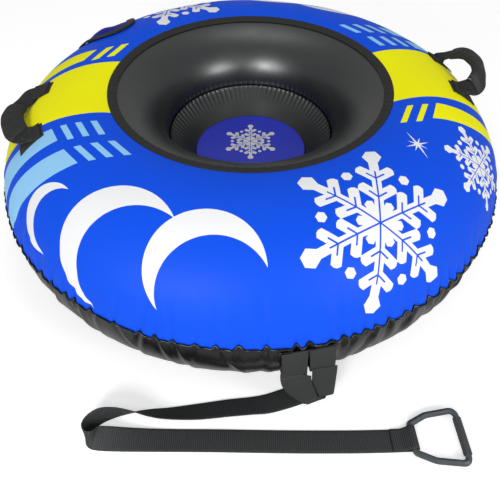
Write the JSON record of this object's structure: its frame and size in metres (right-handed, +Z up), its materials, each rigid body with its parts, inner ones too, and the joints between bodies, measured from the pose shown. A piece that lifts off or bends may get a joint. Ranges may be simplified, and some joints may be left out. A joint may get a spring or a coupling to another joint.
{
  "type": "snow tube",
  "caption": "Inflatable ring sled: welded bladder with a seat membrane in a sewn cover, padded grab handles, flapped valve and a tow strap ending in a pull handle.",
  "frame": {"origin": "centre of the flat underside, on the ground", "axes": "+Z up, -Y towards the tow strap in front, +X towards the right grab handle"},
  "size_m": [1.025, 1.1214, 0.35],
  "materials": {
    "printed_cover": "satin printed polyester",
    "slick_cover": "wet-look coated base",
    "binding_tape": "ribbed tape",
    "bladder_vinyl": "satin vinyl",
    "disc_print": "satin print",
    "webbing": "woven webbing",
    "sleeve_fabric": "padded woven sleeve",
    "foam": "soft foam",
    "elastic": "matte",
    "valve_plastic": "matte",
    "valve_rubber": "matte",
    "rod_plastic": "satin",
    "grip_rubber": "textured"
  },
  "bodies": {
    "root": {"top_cover": "printed_cover", "bottom_cover": "slick_cover", "seam_binding": "binding_tape", "rim_binding": "binding_tape", "rim_elastic": "elastic", "bladder_upper": "bladder_vinyl", "bladder_lower": "bladder_vinyl", "seat_membrane": "bladder_vinyl", "seat_disc": "disc_print", "valve_base": "valve_plastic", "valve_insert": "valve_plastic", "valve_diaphragm": "valve_rubber", "tow_loop_tab": "binding_tape", "tow_loop": "webbing", "tow_hitch": "webbing", "tow_strap": "webbing", "strap_end_wrap": "webbing", "left_handle_front_patch": "webbing", "left_handle_rear_patch": "webbing", "right_handle_front_patch": "webbing", "right_handle_rear_patch": "webbing"},
    "left_handle": {"left_handle_strap": "webbing", "left_handle_foam": "foam", "left_handle_sleeve": "sleeve_fabric"},
    "right_handle": {"right_handle_strap": "webbing", "right_handle_foam": "foam", "right_handle_sleeve": "sleeve_fabric"},
    "valve_flap": {"valve_flap": "printed_cover", "flap_binding": "binding_tape"},
    "valve_cap": {"valve_cap": "valve_plastic"},
    "pull_handle": {"pull_handle_frame": "rod_plastic", "pull_handle_grip": "grip_rubber"}
  },
  "joints": [
    {"name": "left_handle_swing", "type": "hinge", "parent": "root", "child": "left_handle", "pos_m": [-0.4196, -0.07777, 0.32398], "axis": [-0.1822, 0.9833, 0], "range_deg": [-8, 95]},
    {"name": "right_handle_swing", "type": "hinge", "parent": "root", "child": "right_handle", "pos_m": [0.4196, 0.07777, 0.32398], "axis": [0.1822, -0.9833, 0], "range_deg": [-12, 100]},
    {"name": "valve_flap_lift", "type": "hinge", "parent": "root", "child": "valve_flap", "pos_m": [-0.36834, 0.24611, 0.31041], "axis": [-0.5556, -0.8315, 0], "range_deg": [0, 110]},
    {"name": "valve_cap_turn", "type": "hinge", "parent": "root", "child": "valve_cap", "pos_m": [-0.34024, 0.22734, 0.32952], "axis": [-0.3657, 0.2444, 0.8981], "range_deg": [0, 90]},
    {"name": "pull_handle_swing", "type": "hinge", "parent": "root", "child": "pull_handle", "pos_m": [0.26844, -0.56357, 0.0081], "axis": [0.0436, -0.999, 0], "range_deg": [0, 120]}
  ]
}
